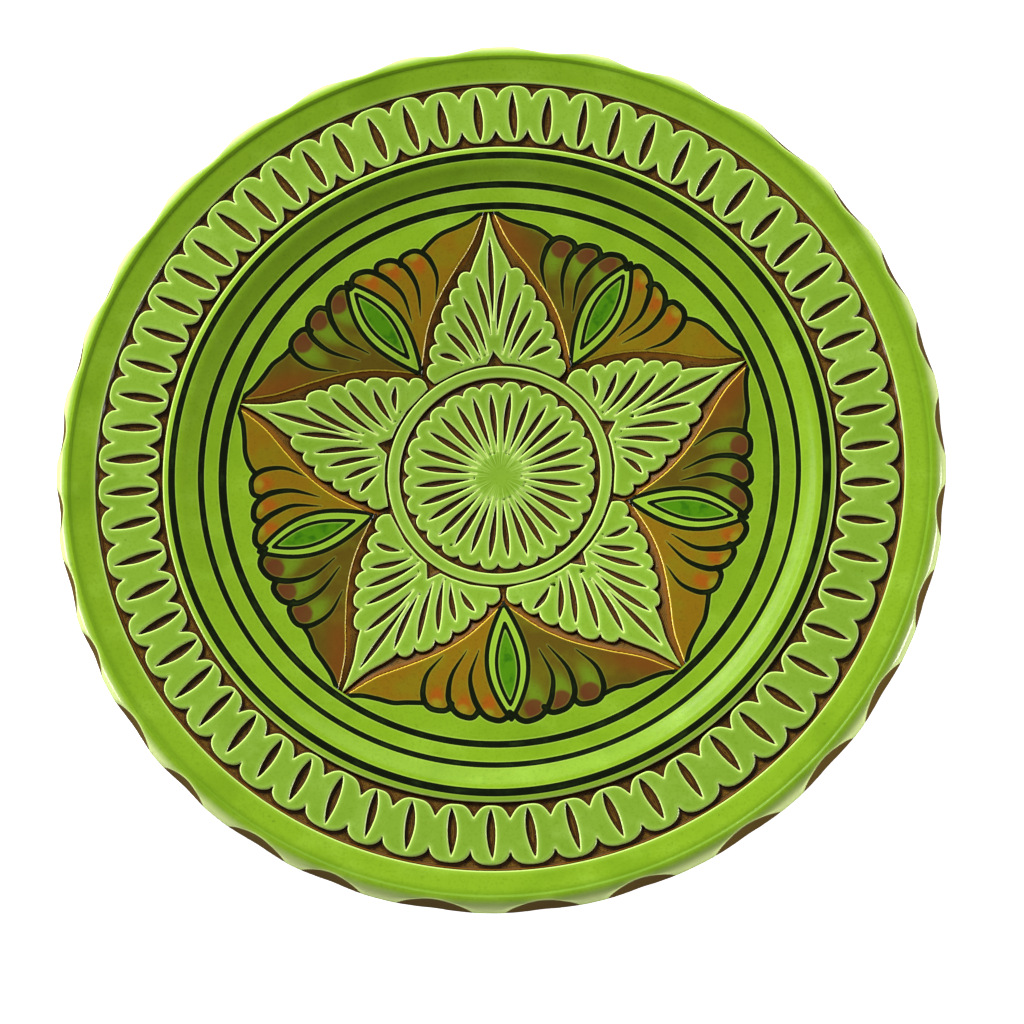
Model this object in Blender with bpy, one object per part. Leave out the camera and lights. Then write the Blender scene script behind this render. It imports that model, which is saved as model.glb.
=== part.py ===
"""Carved and hand-painted earthenware plate.

A brown clay body carries a coat of light slip under a clear green glaze. Carving through the coat
leaves it standing as islands: the rim border, a frieze of petals, the bands of the crest and the
cavetto, five star leaves, five painted panels, the medallion ring and the rosette. Each island is a
solid of its own, laid over the body with a small gap. Units are metres and +Z is up. The origin is on
the table, under the middle of the foot, and angles run anticlockwise from +X as seen from above.
"""

from math import ceil, cos, pi, radians, sin, tau

import bmesh
import bpy
from mathutils import Vector
from mathutils.geometry import delaunay_2d_cdt

MM = 0.001

# Overall form
PLATE_RADIUS = 135 * MM
FOOT_HEIGHT = 5 * MM
FLOOR_THICKNESS = 7 * MM
WELL_RISE = 6.3 * MM
CAVETTO_RISE = 4.3 * MM
RIM_RISE = 1.5 * MM
BEAD_RISE = 0.4 * MM
RIM_THICKNESS = 7 * MM
CAVETTO_THICKNESS = 8.5 * MM
WELL_LINE_SHARE = 0.52

# Layers and clearances
COAT = 0.8 * MM
GAP = 0.3 * MM

# Zones of the face, from the edge inwards
BEAD_RADIUS = 4.5 * MM
CREASE_WIDTH = 1 * MM
BORDER_WIDTH = 12.3 * MM
CUT_OUTSIDE_PETALS = 1.1 * MM
PETAL_LENGTH = 18 * MM
CUT_INSIDE_PETALS = 1.5 * MM
CREST_BAND_WIDTH = 1.4 * MM
RIM_LINE_WIDTH = 2.2 * MM
CAVETTO_WIDTH = 6 * MM
WELL_LINE_OUTER_WIDTH = 1.6 * MM
WELL_EDGE_WIDTH = 4.1 * MM
WELL_LINE_INNER_WIDTH = 2.2 * MM

# Scooped edge
SCALLOPS = 31
SCALLOP_STEPS = 3
SCOOP_TOP = radians(9)
SCALLOP_REACH = radians(80)

# Petal frieze
PETALS = 63
OUTER_LOBE = 5.5 * MM
INNER_LOBE = 2.5 * MM
PETAL_SLIT_WIDTH = 3 * MM
PETAL_SLIT_MARGIN = 2 * MM

# Star of five leaves
TIP_ANGLES = (24.3, 92.7, 164.6, 235.7, 312.3)
VALLEY_ANGLES = (57.3, 127.2, 197.7, 272.1, 348.0)
VALLEY_OUTSIDE_RING = 3 * MM
# Edge of a panel from a valley to a star tip: share of the way, and its swell away from the leaf
OGEE = (
    (0.0, 1.0 * MM),
    (0.10, 2.6 * MM),
    (0.26, 4.4 * MM),
    (0.42, 4.5 * MM),
    (0.60, 3.0 * MM),
    (0.77, 1.0 * MM),
    (0.90, 0.7 * MM),
    (1.0, 0.9 * MM),
)
LEAF_GROOVE = 2.0 * MM
LEAF_LOBES = 6
LEAF_LOBE_HEIGHT = 1.1 * MM
LEAF_LOBES_START = 0.03
LEAF_LOBES_END = 0.70
LEAF_SPEAR = (0.77, 0.90)
LEAF_BASE_BEARINGS = (28, 14, 0, -14, -28)
LEAF_FAN_INSET = 7.5 * MM
# Slits of half a leaf: bearing from the leaf's axis, and the near and far end as shares of the leaf's arm
LEAF_SLITS = (
    (0, 0.43, 0.95),
    (9, 0.38, 0.72),
    (19.5, 0.30, 0.62),
    (29, 0.28, 0.54),
    (40, 0.29, 0.46),
    (54, 0.31, 0.41),
)
# Width of a slit, as a share of the arm
LEAF_SLIT_WIDTH = 0.0447

# Painted palmettes
# Notches between the lobes of half a fan: share of the bearing from its axis to the tip, and share of the
# way out from the valley to the panel's outer edge
FAN_NOTCHES = ((0.0, 0.826), (0.22, 0.788), (0.39, 0.783), (0.57, 0.779))
FAN_LOBE_HEIGHT = 2.2 * MM
# The plain wing beyond them, the same way
WING = ((0.63, 0.835), (0.70, 0.869), (0.79, 0.887), (0.88, 0.923), (0.93, 0.957))
# Seed of a fan: where it starts, its margin at the top and its width, as shares of the fan's height
SEED_START = 0.121
SEED_MARGIN = 0.06
SEED_WIDTH = 0.297
SEED_STEPS = 4
FIELD_GAPS = 1.6
FIELD_END_BEARING = 2.0
FIELD_STEPS = 12
PALMETTE_HOLD = 16 * MM

# Medallion
RING_OUTER_RADIUS = 33.5 * MM
RING_INNER_RADIUS = 30.9 * MM
RING_CUT = 2 * MM
ROSETTE_RADIUS = 29.6 * MM
ROSETTE_LOBE_HEIGHT = 2.1 * MM
ROSETTE_SLITS = 28
ROSETTE_SLIT_WIDTH = 2.1 * MM
ROSETTE_SLIT_START = 9.5 * MM
ROSETTE_SLIT_MARGIN = 3.2 * MM

# Foot
FOOT_INSET = 9.1 * MM
FOOT_WIDTH = 8 * MM
FOOT_CHAMFER = 1.2 * MM
FOOT_SEAT_MARGIN = 2 * MM
UNDERSIDE_BREAK = 1 * MM

# Fineness of the solids
RING_SEGMENTS = 48
BEAD_STEPS = 3
WELL_STEPS = 4
PATCH_SPACING = 14 * MM
PATCH_MARGIN = 1.5 * MM
SHARP_ANGLE = radians(30)
LOBE_STEPS = 2
CDT_EPSILON = 1e-7

# Radii that follow from the zones
BEAD_CENTRE = PLATE_RADIUS - BEAD_RADIUS
BORDER_INNER = PLATE_RADIUS - BORDER_WIDTH
PETAL_OUTER = BORDER_INNER - CUT_OUTSIDE_PETALS
PETAL_INNER = PETAL_OUTER - PETAL_LENGTH
CREST_OUTER = PETAL_INNER - CUT_INSIDE_PETALS
RIM_LINE_OUTER = CREST_OUTER - CREST_BAND_WIDTH - GAP
CAVETTO_OUTER = RIM_LINE_OUTER - RIM_LINE_WIDTH - GAP
WELL_LINE_OUTER = CAVETTO_OUTER - CAVETTO_WIDTH - GAP
WELL_EDGE_OUTER = WELL_LINE_OUTER - WELL_LINE_OUTER_WIDTH - GAP
WELL_LINE_INNER = WELL_EDGE_OUTER - WELL_EDGE_WIDTH - GAP
WELL_RADIUS = WELL_LINE_INNER - WELL_LINE_INNER_WIDTH
PANEL_OUTER = WELL_RADIUS - GAP
STAR_RADIUS = PANEL_OUTER - GAP
VALLEY_RADIUS = RING_OUTER_RADIUS + RING_CUT + VALLEY_OUTSIDE_RING
LEAF_BASE_RADIUS = RING_OUTER_RADIUS + RING_CUT
FOOT_RADIUS = WELL_RADIUS - FOOT_INSET

# Heights that follow from the rises
WELL_BOTTOM = FOOT_HEIGHT + FLOOR_THICKNESS
WELL_EDGE_HEIGHT = WELL_BOTTOM + WELL_RISE
CREST_HEIGHT = WELL_EDGE_HEIGHT + CAVETTO_RISE
BORDER_HEIGHT = CREST_HEIGHT + RIM_RISE
BEAD_TOP = BORDER_HEIGHT + BEAD_RISE
BEAD_CENTRE_HEIGHT = BEAD_TOP - BEAD_RADIUS
FRIEZE_DROP = 0.5 * MM

# Radius and height of the coat's top outside the well, as straight runs between these points
FACE = (
    (WELL_RADIUS, WELL_EDGE_HEIGHT),
    (WELL_LINE_OUTER, WELL_EDGE_HEIGHT + WELL_LINE_SHARE * CAVETTO_RISE),
    (CAVETTO_OUTER, CREST_HEIGHT - FRIEZE_DROP),
    (RIM_LINE_OUTER, CREST_HEIGHT),
    (CREST_OUTER, CREST_HEIGHT - FRIEZE_DROP),
    (BORDER_INNER, BORDER_HEIGHT - FRIEZE_DROP),
    (BEAD_CENTRE - CREASE_WIDTH, BORDER_HEIGHT),
)


def clear_scene():
    """Remove whatever the file opened with."""
    for old in list(bpy.data.objects):
        bpy.data.objects.remove(old, do_unlink=True)


def finish_material(name, colour, roughness):
    """A plain Principled finish for one kind of surface."""
    material = bpy.data.materials.new(name)
    material.use_nodes = True
    shader = material.node_tree.nodes["Principled BSDF"]
    shader.inputs["Base Color"].default_value = (*colour, 1)
    shader.inputs["Roughness"].default_value = roughness
    shader.inputs["Metallic"].default_value = 0
    material.diffuse_color = (*colour, 1)
    return material


def add_solid(name, verts, faces, material):
    """Make a named object from a closed shell, with its faces turned outwards."""
    mesh = bpy.data.meshes.new(name)
    mesh.from_pydata(verts, [], faces)
    shell = bmesh.new()
    shell.from_mesh(mesh)
    bmesh.ops.recalc_face_normals(shell, faces=shell.faces)
    shell.to_mesh(mesh)
    shell.free()
    mesh.materials.append(material)
    mesh.shade_smooth()
    mesh.set_sharp_from_angle(angle=SHARP_ANGLE)
    solid = bpy.data.objects.new(name, mesh)
    bpy.context.scene.collection.objects.link(solid)
    return solid


def face_height(radius):
    """Height of the coat's top surface at this radius: a dished well, then the runs of FACE."""
    if radius <= WELL_RADIUS:
        return WELL_BOTTOM + WELL_RISE * (radius / WELL_RADIUS) ** 2
    for (inner, low), (outer, high) in zip(FACE, FACE[1:]):
        if radius <= outer:
            return low + (high - low) * (radius - inner) / (outer - inner)
    return BORDER_HEIGHT


def bead_point(angle, radius):
    """A point of the rolled edge, where angle 0 is its top and 90 degrees its outermost side."""
    return BEAD_CENTRE + radius * sin(angle), BEAD_CENTRE_HEIGHT + radius * cos(angle)


def scoop_share(turn):
    """How fully the edge is scooped at this turn round the plate: 1 in a scoop, 0 on a scallop."""
    return 0.5 - 0.5 * cos(SCALLOPS * turn)


def turned(name, section, segments, material):
    """A solid turned about Z from section(turn), a closed loop of radius and height.

    A first and a last point on the axis close the solid there instead of leaving a hole.
    """
    count = len(section(0))
    solid_core = section(0)[0][0] == 0
    verts = []
    for step in range(segments):
        turn = tau * step / segments
        verts += [(r * cos(turn), r * sin(turn), z) for r, z in section(turn)]
    faces = []
    for step in range(segments):
        here = step * count
        there = (step + 1) % segments * count
        for low in range(count - solid_core):
            high = (low + 1) % count
            if solid_core and low == 0:
                faces.append((0, here + high, there + high))
            elif solid_core and high == count - 1:
                faces.append((here + low, count - 1, there + low))
            else:
                faces.append((here + low, here + high, there + high, there + low))
    used = sorted({index for face in faces for index in face})
    place = {old: new for new, old in enumerate(used)}
    return add_solid(name, [verts[i] for i in used], [[place[i] for i in face] for face in faces], material)


def band(name, outer, width, material):
    """A turned band of the coat, which follows the face from one radius to another."""
    inner = outer - width
    corners = [radius for radius, _ in FACE if inner < radius < outer]
    radii = [inner, *corners, outer]
    top = [(radius, face_height(radius)) for radius in radii]
    bottom = [(radius, height - COAT) for radius, height in reversed(top)]
    return turned(name, lambda turn: top + bottom, RING_SEGMENTS, material)


def body_section(turn):
    """Half outline of the clay body: up its face, over the scooped edge and back under."""
    sink = COAT + GAP
    well = [WELL_RADIUS * step / WELL_STEPS for step in range(WELL_STEPS + 1)]
    radii = well + [radius for radius, _ in FACE[1:]]
    face = [(radius, face_height(radius) - sink) for radius in radii]
    edge = []
    for step in range(BEAD_STEPS + 1):
        angle = step * pi / 2 / BEAD_STEPS
        chord = cos(pi / 4) / cos(angle - pi / 4)
        flattening = scoop_share(turn) * (1 - chord)
        edge.append(bead_point(angle, (BEAD_RADIUS - sink) * (1 - flattening)))
    seat = FOOT_RADIUS + FOOT_SEAT_MARGIN
    under = [
        (BEAD_CENTRE, BORDER_HEIGHT - RIM_THICKNESS),
        (CREST_OUTER, CREST_HEIGHT - RIM_THICKNESS),
        (WELL_LINE_OUTER, face_height(WELL_LINE_OUTER) - CAVETTO_THICKNESS),
        (WELL_RADIUS - UNDERSIDE_BREAK, face_height(WELL_RADIUS) - CAVETTO_THICKNESS),
        (seat, FOOT_HEIGHT),
        (0, FOOT_HEIGHT),
    ]
    return face + edge + under


def border_section(turn):
    """Section of the border's coat, whose outer end draws back over each scoop."""
    reach = SCALLOP_REACH + (SCOOP_TOP - SCALLOP_REACH) * scoop_share(turn)
    angles = [reach * step / BEAD_STEPS for step in range(BEAD_STEPS + 1)]
    face = FACE[-2:]
    top = [*face, *(bead_point(angle, BEAD_RADIUS) for angle in angles)]
    bottom = [bead_point(angle, BEAD_RADIUS - COAT) for angle in reversed(angles)]
    bottom += [(radius, height - COAT) for radius, height in reversed(face)]
    return top + bottom


def foot_section(_turn):
    """Section of the foot ring, with its bottom corners taken off."""
    inner = FOOT_RADIUS - FOOT_WIDTH
    top = FOOT_HEIGHT - GAP
    return [
        (inner, top),
        (FOOT_RADIUS, top),
        (FOOT_RADIUS, FOOT_CHAMFER),
        (FOOT_RADIUS - FOOT_CHAMFER, 0),
        (inner + FOOT_CHAMFER, 0),
        (inner, FOOT_CHAMFER),
    ]


def polar(radius, degrees):
    """The plan point at this radius and bearing."""
    return Vector((radius * cos(radians(degrees)), radius * sin(radians(degrees))))


def lobe(start, end, height, steps=LOBE_STEPS):
    """Points of a rounded lobe that stands to the right of the way from start to end, without end."""
    middle = (start + end) / 2
    half = (end - start) / 2
    side = Vector((half.y, -half.x)).normalized() * height
    angles = [pi * step / (steps + 1) for step in range(steps + 1)]
    return [middle - half * cos(angle) + side * sin(angle) for angle in angles]


def slit(near, far, width):
    """A lens-shaped cut between two points, pointed at both ends."""
    middle = (near + far) / 2
    along = (far - near).normalized()
    side = Vector((-along.y, along.x)) * width / 2
    quarter = (far - near) / 6
    first = middle - quarter
    second = middle + quarter
    return [near, first - side, second - side, far, second + side, first + side]


def inside(point, outline):
    """Whether a plan point is inside a closed outline."""
    found = False
    for a, b in zip(outline, outline[1:] + outline[:1]):
        if (a.y > point.y) != (b.y > point.y):
            found ^= point.x < a.x + (b.x - a.x) * (point.y - a.y) / (b.y - a.y)
    return found


def edge_distance(point, outline):
    """Distance from a plan point to the nearest side of an outline."""
    nearest = float("inf")
    for a, b in zip(outline, outline[1:] + outline[:1]):
        share = max(0, min(1, (point - a).dot(b - a) / (b - a).length_squared))
        nearest = min(nearest, (point - a - (b - a) * share).length)
    return nearest


def patch(name, outline, holes, material, rings=()):
    """A piece of the coat with this outline and these holes, draped over the face.

    rings are radii on which extra points hold the piece to the curve of the well.
    """
    loops = [outline, *holes]
    points = []
    edges = []
    for loop in loops:
        first = len(points)
        points += loop
        edges += [(first + i, first + (i + 1) % len(loop)) for i in range(len(loop))]
    for radius in rings:
        count = ceil(tau * radius / PATCH_SPACING)
        for step in range(count):
            point = polar(radius, 360 * step / count)
            if inside(point, outline) and all(edge_distance(point, loop) > PATCH_MARGIN for loop in loops):
                if not any(inside(point, hole) for hole in holes):
                    points.append(point)
    plan, _, triangles, *_ = delaunay_2d_cdt(points, edges, [], 1, CDT_EPSILON)
    kept = []
    for triangle in triangles:
        centre = sum((plan[i] for i in triangle), Vector((0, 0))) / 3
        if inside(centre, outline) and not any(inside(centre, hole) for hole in holes):
            kept.append(list(triangle))
    verts = [(p.x, p.y, face_height(p.length)) for p in plan]
    verts += [(x, y, z - COAT) for x, y, z in verts]
    below = len(plan)
    faces = kept + [[i + below for i in reversed(triangle)] for triangle in kept]
    sides = {(t[i], t[(i + 1) % 3]) for t in kept for i in range(3)}
    faces += [[b, a, a + below, b + below] for a, b in sides if (b, a) not in sides]
    used = sorted({index for face in faces for index in face})
    place = {old: new for new, old in enumerate(used)}
    return add_solid(name, [verts[i] for i in used], [[place[i] for i in face] for face in faces], material)


def make_frieze(material):
    """The ring of petals round the rim, lobed on both sides, with a slit down each petal."""
    pitch = 360 / PETALS
    outer = []
    inner = []
    slits = []
    for petal in range(PETALS):
        start = petal * pitch
        end = start + pitch
        outer += lobe(polar(PETAL_OUTER - OUTER_LOBE, start), polar(PETAL_OUTER - OUTER_LOBE, end), OUTER_LOBE)
        inner += lobe(polar(PETAL_INNER + INNER_LOBE, start), polar(PETAL_INNER + INNER_LOBE, end), -INNER_LOBE)
        near = polar(PETAL_INNER + PETAL_SLIT_MARGIN, start + pitch / 2)
        far = polar(PETAL_OUTER - PETAL_SLIT_MARGIN, start + pitch / 2)
        slits.append(slit(near, far, PETAL_SLIT_WIDTH))
    return patch("petal_frieze", outer, [inner, *slits], material)


def panel_edge(valley, tip, share, inset=0.0):
    """A plan point this share of the way from a valley to a tip, on the panel's edge.

    The edge swells away from the leaf, and inset moves the point back towards the leaf.
    """
    way = tip - valley
    side = Vector((-way.y, way.x)).normalized()
    if side.dot(valley) < 0:
        side.negate()
    for (near, low), (far, high) in zip(OGEE, OGEE[1:]):
        if share <= far:
            break
    swell = low + (high - low) * (share - near) / (far - near)
    return valley + way * share + side * (swell - inset)


def leaf_side(valley, tip, turn):
    """Lobed side of a leaf from its base to its plain spear; turn is 1 where the leaf is on the left."""
    inset = LEAF_GROOVE + LEAF_LOBE_HEIGHT
    step = (LEAF_LOBES_END - LEAF_LOBES_START) / LEAF_LOBES
    shares = [LEAF_LOBES_START + step * i for i in range(LEAF_LOBES + 1)]
    notches = [panel_edge(valley, tip, share, inset) for share in shares]
    points = []
    for start, end in zip(notches, notches[1:]):
        points += lobe(start, end, turn * LEAF_LOBE_HEIGHT)
    spear = [panel_edge(valley, tip, share, LEAF_GROOVE) for share in LEAF_SPEAR]
    return points + [notches[-1]] + spear


def make_leaf(number, material):
    """One lobed leaf of the star, with a fan of slits."""
    bearing = TIP_ANGLES[number]
    tip = polar(STAR_RADIUS, bearing)
    right = leaf_side(polar(VALLEY_RADIUS, VALLEY_ANGLES[number - 1]), tip, 1)
    left = leaf_side(polar(VALLEY_RADIUS, VALLEY_ANGLES[number]), tip, -1)
    outline = right + [polar(STAR_RADIUS - LEAF_GROOVE, bearing)] + left[::-1]
    for side in LEAF_BASE_BEARINGS:
        outline.append(polar(LEAF_BASE_RADIUS, bearing + side))
    arm = STAR_RADIUS - LEAF_BASE_RADIUS
    axis = polar(1, bearing)
    across = Vector((-axis.y, axis.x))
    focus = axis * (LEAF_BASE_RADIUS - LEAF_FAN_INSET)
    slits = []
    for degrees, near, far in LEAF_SLITS:
        for side in (1, -1) if degrees else (1,):
            line = axis * cos(radians(degrees)) + across * side * sin(radians(degrees))
            slits.append(slit(focus + line * arm * near, focus + line * arm * far, arm * LEAF_SLIT_WIDTH))
    return patch(f"star_leaf_{number + 1}", outline, slits, material, rings=(LEAF_BASE_RADIUS + arm / 3,))


def fan_top(axis, tip_bearing):
    """Lobed top of half a painted fan, from its axis to where its wing meets the star's tip."""
    spread = tip_bearing - axis
    turn = 1 if spread > 0 else -1
    depth = PANEL_OUTER - VALLEY_RADIUS
    notches = [polar(VALLEY_RADIUS + depth * out, axis + spread * share) for share, out in FAN_NOTCHES]
    points = []
    for start, end in zip(notches, notches[1:]):
        points += lobe(start, end, -turn * FAN_LOBE_HEIGHT)
    wing = [polar(VALLEY_RADIUS + depth * out, axis + spread * share) for share, out in WING]
    return points + [notches[-1]] + wing


def make_panel(number, plain, washed, seeded):
    """The field between two leaves: its plain green part, its painted fan and the fan's green seed."""
    axis = VALLEY_ANGLES[number]
    after = TIP_ANGLES[(number + 1) % len(TIP_ANGLES)]
    after += 360 if after < axis else 0
    before = TIP_ANGLES[number]
    valley = polar(VALLEY_RADIUS, axis)
    tops = [fan_top(axis, bearing) for bearing in (before, after)]
    sides = []
    for bearing in (before, after):
        tip = polar(STAR_RADIUS, bearing)
        sides.append([panel_edge(valley, tip, share) for share, _ in OGEE[1:-1]])
    fan = [valley, *sides[0], *tops[0][::-1], *tops[1][1:], *sides[1][::-1]]
    height = tops[0][0] - valley
    start = valley + height * SEED_START
    end = tops[0][0] - height * SEED_MARGIN
    half_width = height.length * SEED_WIDTH / 2
    seed_hole = lobe(start, end, half_width, SEED_STEPS) + lobe(end, start, half_width, SEED_STEPS)
    inset = 1 - GAP / half_width
    middle = (start + end) / 2
    seed = [middle + (point - middle) * inset for point in seed_hole]
    patch(f"palmette_{number + 1}", fan, [seed_hole], washed, rings=(VALLEY_RADIUS + PALMETTE_HOLD,))
    patch(f"palmette_seed_{number + 1}", seed, [], seeded)
    lower = [point * (1 + GAP * FIELD_GAPS / point.length) for point in tops[0][::-1] + tops[1][1:]]
    span = [before + FIELD_END_BEARING, after - FIELD_END_BEARING]
    arc = []
    for step in range(FIELD_STEPS + 1):
        arc.append(polar(PANEL_OUTER, span[1] + (span[0] - span[1]) * step / FIELD_STEPS))
    patch(f"field_{number + 1}", lower + arc, [], plain)


def make_medallion(ring_finish, rosette_finish):
    """The ring and, inside it, the lobed rosette with its radial slits."""
    profile = []
    for radius in (RING_INNER_RADIUS, RING_OUTER_RADIUS):
        profile.append((radius, face_height(radius)))
    for radius in (RING_OUTER_RADIUS, RING_INNER_RADIUS):
        profile.append((radius, face_height(radius) - COAT))
    turned("medallion_ring", lambda turn: profile, RING_SEGMENTS, ring_finish)
    pitch = 360 / ROSETTE_SLITS
    notch = ROSETTE_RADIUS - ROSETTE_LOBE_HEIGHT
    outline = []
    slits = []
    for petal in range(ROSETTE_SLITS):
        start = petal * pitch
        outline += lobe(polar(notch, start), polar(notch, start + pitch), ROSETTE_LOBE_HEIGHT)
        near = polar(ROSETTE_SLIT_START, start + pitch / 2)
        far = polar(ROSETTE_RADIUS - ROSETTE_SLIT_MARGIN, start + pitch / 2)
        slits.append(slit(near, far, ROSETTE_SLIT_WIDTH))
    patch("centre_rosette", outline, slits, rosette_finish)


def main():
    clear_scene()
    clay = finish_material("fired_brown_clay", (0.10, 0.045, 0.018), 0.35)
    green = finish_material("green_glaze", (0.24, 0.43, 0.018), 0.2)
    light = finish_material("light_carved_glaze", (0.30, 0.50, 0.035), 0.2)
    line = finish_material("dark_brushed_line", (0.004, 0.007, 0.003), 0.2)
    wash = finish_material("amber_brown_wash", (0.25, 0.13, 0.006), 0.25)
    seed = finish_material("deep_green_seed", (0.09, 0.22, 0.004), 0.2)
    turned("clay_body", body_section, SCALLOPS * SCALLOP_STEPS, clay)
    turned("foot_ring", foot_section, RING_SEGMENTS, clay)
    turned("rim_border", border_section, SCALLOPS * SCALLOP_STEPS, green)
    make_frieze(light)
    band("crest_band", CREST_OUTER, CREST_BAND_WIDTH, green)
    band("rim_line", RIM_LINE_OUTER, RIM_LINE_WIDTH, line)
    band("cavetto_band", CAVETTO_OUTER, CAVETTO_WIDTH, green)
    band("well_line_outer", WELL_LINE_OUTER, WELL_LINE_OUTER_WIDTH, line)
    band("well_edge_band", WELL_EDGE_OUTER, WELL_EDGE_WIDTH, green)
    band("well_line_inner", WELL_LINE_INNER, WELL_LINE_INNER_WIDTH, line)
    for number in range(len(TIP_ANGLES)):
        make_leaf(number, light)
        make_panel(number, green, wash, seed)
    make_medallion(green, light)


main()
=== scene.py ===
"""Looks of the carved and hand-painted earthenware plate.

A brown clay body wears a coat of pale slip under a clear green glaze. The carver cut through the coat,
so petals, leaves and a rosette stand as islands over brown beds, and a brush laid the dark lines, the
palmettes and their washes. Each zone is drawn as outlines in plan, in millimetres, and laid over the
turned face. Every point keeps its distance from the nearest cut or stroke as a mark, and the finishes
read these marks.
"""

from math import cos, pi, radians, sin, tau

import bpy
import numpy as np
from mathutils import Matrix, Vector
from mathutils.kdtree import KDTree


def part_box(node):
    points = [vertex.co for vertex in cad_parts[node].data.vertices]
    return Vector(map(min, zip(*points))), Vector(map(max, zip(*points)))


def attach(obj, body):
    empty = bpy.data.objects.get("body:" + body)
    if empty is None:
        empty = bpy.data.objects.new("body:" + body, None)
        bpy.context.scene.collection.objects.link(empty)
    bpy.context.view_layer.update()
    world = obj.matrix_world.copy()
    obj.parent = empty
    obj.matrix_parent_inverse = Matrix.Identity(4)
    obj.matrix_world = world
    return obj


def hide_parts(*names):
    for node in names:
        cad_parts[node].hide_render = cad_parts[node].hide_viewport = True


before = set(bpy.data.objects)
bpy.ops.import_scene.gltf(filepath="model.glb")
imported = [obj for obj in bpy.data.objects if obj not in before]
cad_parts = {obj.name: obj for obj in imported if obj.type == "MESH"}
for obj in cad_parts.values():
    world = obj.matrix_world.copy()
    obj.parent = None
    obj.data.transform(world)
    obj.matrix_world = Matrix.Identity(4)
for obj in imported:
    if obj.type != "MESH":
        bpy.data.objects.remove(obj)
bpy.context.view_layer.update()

MM = 0.001
HAND = np.random.default_rng(31)


# Sizes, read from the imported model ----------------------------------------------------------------

def reach(node):
    """How far a piece of the model reaches from the axis, in mm."""
    low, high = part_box(node)
    return max(high[0], high[1], -low[0], -low[1]) / MM


def top(node):
    """The highest point of a piece of the model, in mm."""
    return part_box(node)[1][2] / MM


# Radii of the turned parts, in mm. BEAD is the radius of the rolled edge's section
EDGE = reach("rim_border") + 0.07
BEAD = 4.2
BEAD_R = EDGE - BEAD
BEAD_Z = top("rim_border") - BEAD
BORDER_IN = EDGE - 12.3
CREST = reach("crest_band")
RIM_LINE = reach("rim_line")
CAVETTO = reach("cavetto_band")
LINE_OUT = reach("well_line_outer")
WELL_EDGE = reach("well_edge_band")
LINE_IN = reach("well_line_inner")
WIDE_LINE = 2.2
NARROW_LINE = 1.7
WELL = LINE_IN - WIDE_LINE
PANEL = WELL - 0.3
RING = reach("medallion_ring")
PETAL_IN = CREST + 1.4
PETAL_OUT = BORDER_IN - 1.1
ROSETTE = RING - 3.8
VALLEY = RING + 5
RING_OUT = RING + 0.8
LEAF_FOOT = RING + 1.8
STAR = WELL + 0.5
FOOT = reach("foot_ring")

# Bearings of the star's tips and of the valleys between them, in degrees; the hand set them unevenly
TIPS = (24.3, 92.7, 164.6, 235.7, 312.3)
VALLEYS = (57.3, 127.2, 197.7, 272.1, 348.0)
# The spread from a tip to a valley for which the leaves and the palmettes are drawn, in degrees
DRAWN_SPREAD = 35.4
SCOOPS = 31
PETALS = 63
ROSETTE_CUTS = 28

# Share of the well's rise at shares of its radius: it climbs most under the leaves
DISH = ((0, 0.24, 0.36, 0.48, 0.66, 0.78, 0.90, 1), (0, 0.05, 0.13, 0.29, 0.61, 0.79, 0.92, 1))
RISE_AT_RING = 0.19
RISE = (top("field_1") - top("medallion_ring")) / (1 - RISE_AT_RING)
CENTRE = top("field_1") - RISE


def turned_face():
    """Radius and height of the face: a shallow well, a hollow cavetto, the crest and the rim."""
    radii = [*np.arange(0, WELL, 4), WELL]
    heights = [CENTRE + RISE * np.interp(r / WELL, *DISH) for r in radii]
    radii += [WELL_EDGE, LINE_OUT, LINE_OUT + 2.6, CAVETTO - 1.3, CAVETTO + 0.4]
    bands = ("well_line_outer", "cavetto_band", "rim_line", "rim_border")
    well, slope, crest, border = map(top, bands)
    heights += [top("well_edge_band") - 0.9, well - 0.9, well + 0.25, slope - 0.1, slope + 0.4]
    radii += [RIM_LINE, CREST, BORDER_IN, BEAD_R - 4, BEAD_R - 0.6]
    heights += [crest, crest - 0.35, border - 2.0, border - 1.15, border - 0.4]
    fine = np.linspace(0, BEAD_R, 1200)
    smooth = np.interp(fine, radii, heights)
    for _ in range(2):
        smooth = np.convolve(np.pad(smooth, 5, mode="edge"), np.ones(11) / 11, "valid")
    return fine, smooth


FACE_R, FACE_Z = turned_face()


def face(x, y):
    """Height of the glazed face over plan points, with the slight sway of hand work."""
    r = np.hypot(x, y)
    turn = np.arctan2(y, x)
    sway = 0.10 * np.sin(2 * turn + 0.7) + 0.06 * np.sin(3 * turn + 2.1)
    return np.interp(r, FACE_R, FACE_Z) + sway * np.clip((r - 60) / 40, 0, 1)


# Drawing in plan ----------------------------------------------------------------------------------

def polar(r, degrees):
    """Plan points at a radius and a bearing in degrees."""
    turn = np.radians(degrees)
    return np.stack([r * np.cos(turn), r * np.sin(turn)], -1)


def curve(points, step=0.12, closed=False):
    """A smooth line through points, sampled finely."""
    p = np.asarray(points, float)
    before = p[-1:] if closed else 2 * p[:1] - p[1:2]
    after = p[:2] if closed else 2 * p[-1:] - p[-2:-1]
    p = np.vstack([before, p, after])
    runs = []
    for a, b, c, d in zip(p, p[1:], p[2:], p[3:]):
        count = max(2, int(np.hypot(*(c[:2] - b[:2])) / step))
        t = np.linspace(0, 1, count, endpoint=False)[:, None]
        square, cube = 2 * a - 5 * b + 4 * c - d, 3 * b - a - 3 * c + d
        runs.append(0.5 * (2 * b + (c - a) * t + square * t**2 + cube * t**3))
    return np.vstack([*runs, p[1:2] if closed else p[-2:-1]])


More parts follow.
